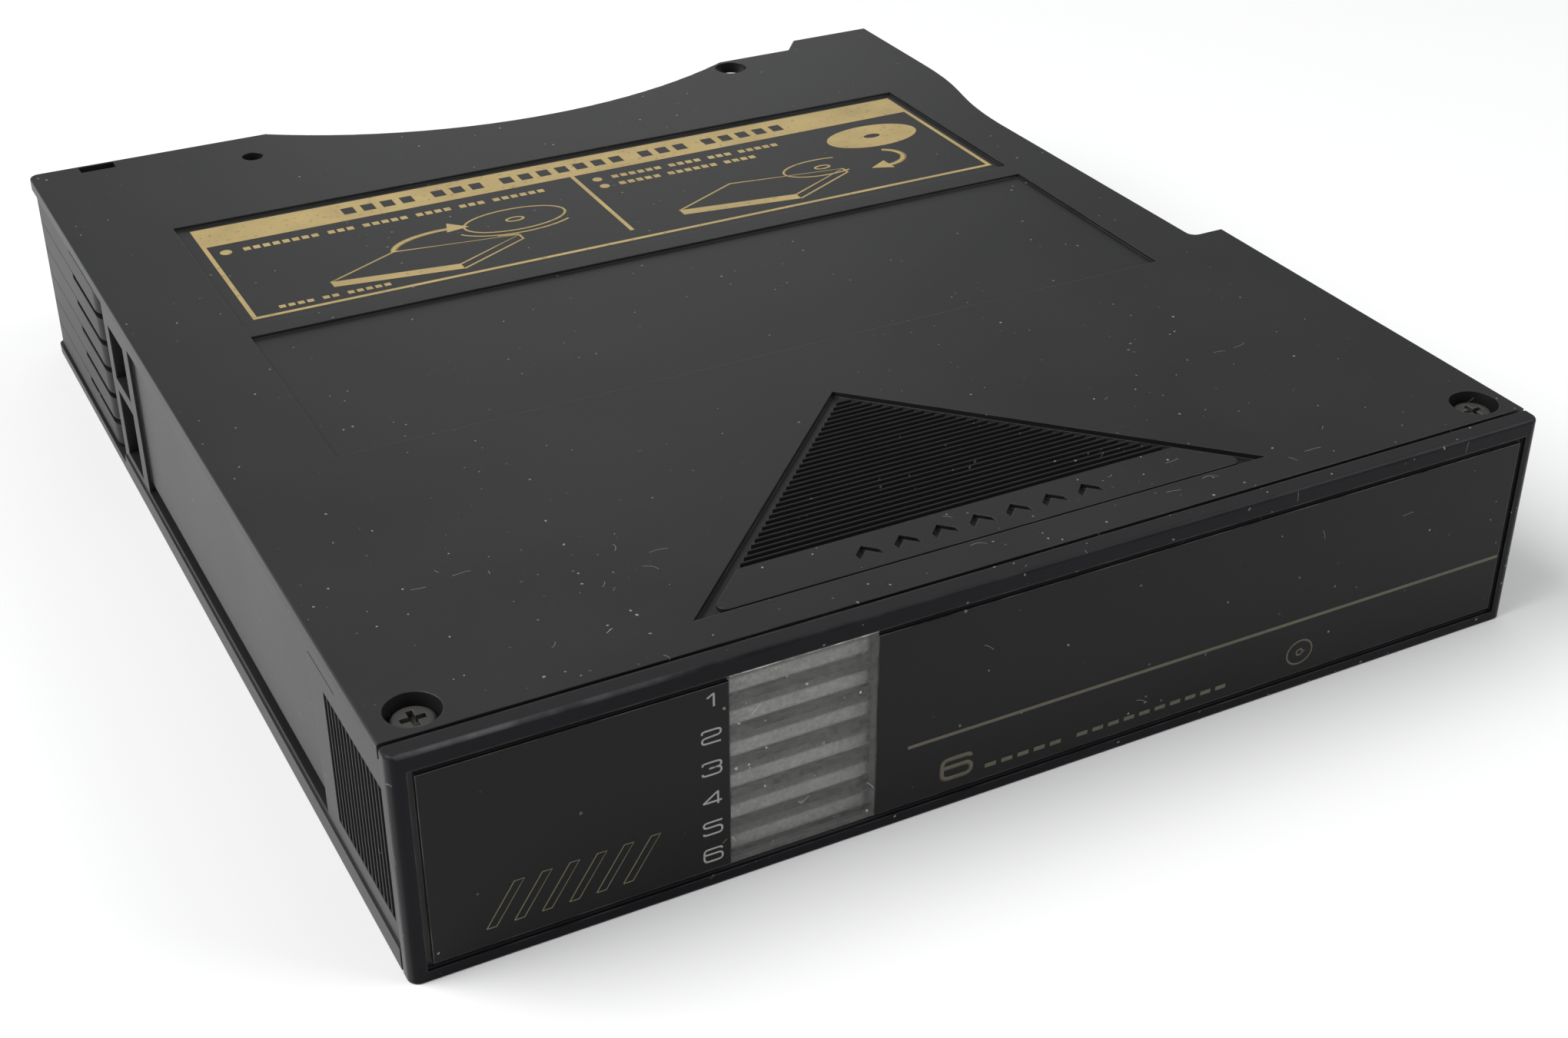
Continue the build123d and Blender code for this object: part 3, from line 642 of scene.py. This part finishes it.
# %% Ink finishes
def ink(name, colour, base, wear):
    """Printed ink with worn specks that show the plastic below."""
    look, shader = new_look(name, {})
    tree = look.node_tree
    rubbed = patches(tree, 1400.0, 4.0, 0.62, 0.7, 0.0, wear)
    cloud = patches(tree, 120.0, 3.0, 0.3, 0.7)
    darker = tuple(0.8 * part for part in colour)
    printed = blend(tree, colour, darker, cloud)
    tree.links.new(blend(tree, printed, base, rubbed), shader.inputs["Base Color"])
    tree.links.new(ramp(tree, rubbed, 0.0, 1.0, 0.5, 0.4), shader.inputs["Roughness"])
    return look


gold_ink = ink("gold_ink", (0.45, 0.335, 0.135), (0.06, 0.05, 0.03), 0.5)
line_ink = ink("line_ink", (0.09, 0.08, 0.048), (0.02, 0.02, 0.02), 0.5)
outline_ink = ink("outline_ink", (0.17, 0.15, 0.08), (0.02, 0.02, 0.02), 0.4)
number_ink = ink("number_ink", (0.36, 0.36, 0.345), (0.03, 0.03, 0.03), 0.4)
print("inks:", gold_ink.name, line_ink.name, outline_ink.name, number_ink.name)

# %% [markdown]
# ## Printing
# A print is drawn flat in millimetres and then laid on its surface. Closed outlines become filled
# shapes and open lines become strokes. Each is a curve that is made a mesh, so that it is a thin
# solid layer of ink, two hundredths of a millimetre thick, and exports as real geometry.

# %% Draw a flat print
ink_thickness = 0.02


def draw(name, lines, half_width=0.0):
    """Mesh of strokes with a half width, or of filled outlines without one, in millimetres."""
    filled = not half_width
    curve = bpy.data.curves.new(name, "CURVE")
    curve.dimensions = "2D" if filled else "3D"
    for line in lines:
        spline = curve.splines.new("POLY")
        spline.points.add(len(line) - 1)
        for point, (x, y) in zip(spline.points, line):
            point.co = (x, y, 0, 1)
        spline.use_cyclic_u = filled
    if filled:
        curve.fill_mode = "BOTH"
        curve.extrude = ink_thickness / 2
    else:
        curve.bevel_depth = half_width
        curve.bevel_resolution = 0
        curve.use_fill_caps = True
    piece = bpy.data.objects.new(name, curve)
    bpy.context.scene.collection.objects.link(piece)
    bpy.ops.object.select_all(action="DESELECT")
    piece.select_set(True)
    bpy.context.view_layer.objects.active = piece
    bpy.ops.object.convert(target="MESH")
    piece = bpy.context.object
    flatten = 1.0 if filled else ink_thickness / (2 * half_width)
    lift = Matrix.Translation((0, 0, ink_thickness / 2))
    piece.data.transform(lift @ Matrix.Scale(flatten, 4, (0, 0, 1)))
    return piece


print("ink thickness, mm:", ink_thickness)

# %% Lay a print on the case
def lay(piece, surface, look):
    """Put a drawn piece on its surface and let it ride on the case."""
    piece.data.transform(surface)
    piece.data.materials.clear()
    piece.data.materials.append(look)
    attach(piece, "case")
    print(piece.name, "faces:", len(piece.data.polygons))


upright = Matrix.Rotation(pi / 2, 4, "X")
on_panel = Matrix.Translation(place(0, panel_face, 0)) @ upright @ Matrix.Scale(MM, 4)
print("panel prints start at:", [round(part, 4) for part in on_panel.translation])

# %% [markdown]
# ## Numbers beside the window
# Plain numbers from 1 to 6 stand left of the window, one beside each strip. Each is drawn as a
# few straight strokes in a wide box, whose corners are then rounded, as on measuring instruments.

# %% Numbers
number_strokes = {
    1: [[(0.3, 0.72), (0.66, 1.0), (0.66, 0.0)]],
    2: [[(0.0, 0.76), (0.0, 1.0), (1.0, 1.0), (1.0, 0.54), (0.0, 0.44), (0.0, 0.0), (1.0, 0.0)]],
    3: [[(0.0, 0.8), (0.0, 1.0), (1.0, 1.0), (1.0, 0.53), (0.35, 0.53)],
        [(0.6, 0.53), (1.0, 0.53), (1.0, 0.0), (0.0, 0.0), (0.0, 0.2)]],
    4: [[(0.8, 0.0), (0.8, 1.0), (0.0, 0.24), (1.0, 0.24)]],
    5: [[(1.0, 1.0), (0.0, 1.0), (0.0, 0.58), (1.0, 0.58), (1.0, 0.0), (0.0, 0.0), (0.0, 0.16)]],
    6: [[(0.96, 0.84), (0.96, 1.0), (0.0, 1.0), (0.0, 0.0), (1.0, 0.0), (1.0, 0.58), (0.04, 0.58)]],
}
number_left = 33.65
number_width = 2.2
number_height = 1.65
number_stroke = 0.13
number_middles = {1: 24.6, 2: 20.0, 3: 15.8, 4: 11.75, 5: 7.8, 6: 4.1}
sharp_numbers = (1, 4)
sharp_reach, round_reach = 0.12, 0.5


def rounded(points, reach, steps=4):
    """Open line whose inner corners are rounded, from a reach before to a reach behind each."""
    corners = [Vector(point) for point in points]
    line = [corners[0]]
    for before, corner, after in zip(corners, corners[1:], corners[2:]):
        start = corner.lerp(before, min(0.49, reach / (before - corner).length))
        end = corner.lerp(after, min(0.49, reach / (after - corner).length))
        for part in (step / steps for step in range(steps + 1)):
            line.append(start.lerp(corner, part).lerp(corner.lerp(end, part), part))
    return [tuple(point) for point in line + corners[-1:]]


def number_lines(number, left, low, wide, tall, reach):
    """Strokes of one number, scaled into its box and rounded."""
    return [rounded([(left + x * wide, low + y * tall) for x, y in stroke], reach)
            for stroke in number_strokes[number]]


lines = []
for number, number_middle in number_middles.items():
    reach = sharp_reach if number in sharp_numbers else round_reach
    low = number_middle - number_height / 2
    lines += number_lines(number, number_left, low, number_width, number_height, reach)
lay(draw("tray_numbers", lines, number_stroke), on_panel, number_ink)

# %% [markdown]
# ## Gold print on the panel
# A thin gold line runs along the panel right of the window, over a larger number that tells how
# many trays there are. Beside it two rows of plain blocks stand for words, and a ring with a
# centre hole for a disc. On the left six slanted outlines stand for the six trays, drawn thin.

# %% Boxes, ovals and rows of blocks
def box_outline(x0, y0, x1, y1):
    """Corners of an upright box."""
    return [(x0, y0), (x1, y0), (x1, y1), (x0, y1)]


def oval(x, y, wide, deep, first=0.0, last=360.0, steps=40):
    """Points along an oval or a part of it, with directions in degrees."""
    turns = [radians(first + (last - first) * step / steps) for step in range(steps + 1)]
    return [(x + wide / 2 * cos(turn), y + deep / 2 * sin(turn)) for turn in turns]


def greek(left, low, words, wide, tall, gap):
    """Rows of plain blocks that stand for words with so many letters each."""
    blocks = []
    for letters in words:
        for _ in range(letters):
            blocks.append(box_outline(left, low, left + wide, low + tall))
            left += wide + gap
        left += wide
    return blocks


panel_blocks = greek(69.3, 3.5, (5, 10), 1.5, 0.55, 0.72)
print("blocks on the panel:", len(panel_blocks))

# %% Gold line and large number
def join(name, pieces):
    """Several pieces made one object with a new name."""
    bpy.ops.object.select_all(action="DESELECT")
    for piece in pieces:
        piece.select_set(True)
    bpy.context.view_layer.objects.active = pieces[0]
    bpy.ops.object.join()
    pieces[0].name = name
    return pieces[0]


line_start = 58.9
line_end = case_size.x - 2.85
line_middle = 9.95
line_half = 0.22
ring_across, ring_up = 114.4, 5.1
line_box = box_outline(line_start, line_middle - line_half, line_end, line_middle + line_half)
gold_line = draw("line", [line_box])
large_number = draw("number", number_lines(6, 63.5, 3.7, 3.9, 2.7, 0.9), 0.3)
words = draw("words", panel_blocks)
ring_lines = [oval(ring_across, ring_up, 3.8, 3.4), oval(ring_across, ring_up, 0.9, 0.8)]
rings = draw("rings", ring_lines, 0.13)
lay(join("panel_line", [gold_line, large_number, words, rings]), on_panel, line_ink)

# %% Six slanted outlines
slants_left = 8.6
slant_pitch = 3.1
slant_lean = 3.4
slant_width = 1.1
slant_low, slant_high = 4.2, 9.4
slants = []
for index in range(6):
    foot = slants_left + index * slant_pitch
    head = foot + slant_lean
    slants.append([(foot, slant_low), (head, slant_high), (head + slant_width, slant_high),
                   (foot + slant_width, slant_low), (foot, slant_low)])
lay(draw("six_slants", slants, 0.07), on_panel, outline_ink)

# %% [markdown]
# ## Label print
# The rear field of the cover carries a label in pale gold: a frame, a filled header band and two
# small drawings. Blocks left out of the band and rows of small blocks below it stand for words.
# The frame is one filled outline with holes, so that band, frame and divider share one surface
# and nothing overlaps.

# %% Frame and header band
label_depth = 0.45
label_face = place(0, 0, node_box("top_cover")[1].z - label_depth)
on_label = Matrix.Translation(label_face) @ Matrix.Scale(MM, 4)
label_left, label_right, label_front, label_rear = 16.3, 131.9, 100.1, 132.1
label_line = 0.64
header_front = 125.6
divider_front = 103.4
divider_left = 72.7
divider_right = divider_left + label_line
inner_left, inner_right = label_left + label_line, label_right - label_line
inner_front = label_front + label_line
frame_outline = box_outline(label_left, label_front, label_right, label_rear)
frame_hole = [(inner_left, inner_front), (inner_right, inner_front), (inner_right, header_front),
              (divider_right, header_front), (divider_right, divider_front),
              (divider_left, divider_front), (divider_left, header_front), (inner_left, header_front)]
header_blocks = greek(38.0, 127.7, (4, 3, 7, 3, 5), 1.9, 2.3, 1.1)
frame_print = draw("frame", [frame_outline, frame_hole] + header_blocks)
print("blocks in the header:", len(header_blocks))

# %% Rows of words with round bullets
def oval_outline(x, y, wide, deep):
    """Closed outline of an oval, without its repeated last point."""
    return oval(x, y, wide, deep)[:-1]


small_rows = greek(21.5, 122.2, (8, 3, 5, 4, 3, 6), 1.0, 1.1, 0.42)
small_rows += greek(78.4, 122.2, (6, 4, 3, 5), 1.0, 1.1, 0.42)
small_rows += greek(78.4, 119.4, (5, 6, 4), 1.0, 1.1, 0.42)
small_rows += greek(20.5, 101.9, (4, 2, 5), 0.9, 0.9, 0.4)
small_rows += [oval_outline(19.0, 122.8, 1.7, 1.7), oval_outline(76.0, 122.8, 1.5, 1.5),
               oval_outline(76.0, 120.0, 1.5, 1.5)]
row_print = draw("rows", small_rows)
lay(join("label_frame", [frame_print, row_print]), on_label, gold_ink)

# %% [markdown]
# ## Drawings on the label
# Both drawings show the case as a flat slab seen from a corner. On the left a tray swings out
# along a bent arrow, on the right a disc is laid on the tray. Lines are strokes, and the front of
# the slab, the disc and the arrow heads are filled.

# %% Slab, tray, disc and arrows
left_slab = (47.0, 103.9)
right_slab = (100.0, 103.9)
thin_line, thick_line = 0.22, 0.5
head_length = 3.6
head_half_angle = 26.0


def slab(x, y):
    """Strokes of a flat slab whose near corner is at a point."""
    top = [(x - 18, y + 2.6), (x, y), (x + 11, y + 5.6), (x - 7, y + 8.2), (x - 18, y + 2.6)]
    return [top, [(x, y - 1.6), (x + 11, y + 4.0), (x + 11, y + 5.6)]]


def slab_front(x, y):
    """Filled outline of the labelled side of the slab."""
    return [(x - 18, y + 2.6), (x - 18, y + 1.0), (x, y - 1.6), (x, y)]


def arrow_head(x, y, direction):
    """Filled triangle with its tip at a point, turned to a direction in degrees."""
    turns = [(0.0, 0.0), (180.0 - head_half_angle, head_length), (180.0 + head_half_angle, head_length)]
    return [(x + reach * cos(radians(direction + turn)), y + reach * sin(radians(direction + turn)))
            for turn, reach in turns]


thin_lines = slab(*left_slab) + slab(*right_slab)
thin_lines += [oval(59.5, 114.9, 15.5, 7.4), oval(59.5, 114.9, 2.6, 1.3)]
thin_lines += [oval(59.5, 114.9, 19.0, 9.6, 200, 318), oval(108.5, 111.4, 13.0, 6.0, 60, 300)]
thin_lines += [oval(108.5, 111.4, 2.4, 1.2), [(55.0, 110.4), (58.0, 109.6)]]
thick_lines = [oval(48.5, 111.5, 17.0, 9.0, 175, 75), oval(118.0, 110.6, 8.0, 6.2, 60, -95)]
disc = [oval_outline(121.5, 119.0, 15.5, 8.4), oval_outline(121.5, 119.0, 2.8, 1.5)]
fills = [arrow_head(52.6, 115.4, -18.0), arrow_head(115.0, 107.6, 184.0)]
fills += [slab_front(*left_slab), slab_front(*right_slab)]
drawing_print = [draw("thin", thin_lines, thin_line), draw("thick", thick_lines, thick_line),
                 draw("disc", disc), draw("fills", fills)]
lay(join("label_drawings", drawing_print), on_label, gold_ink)
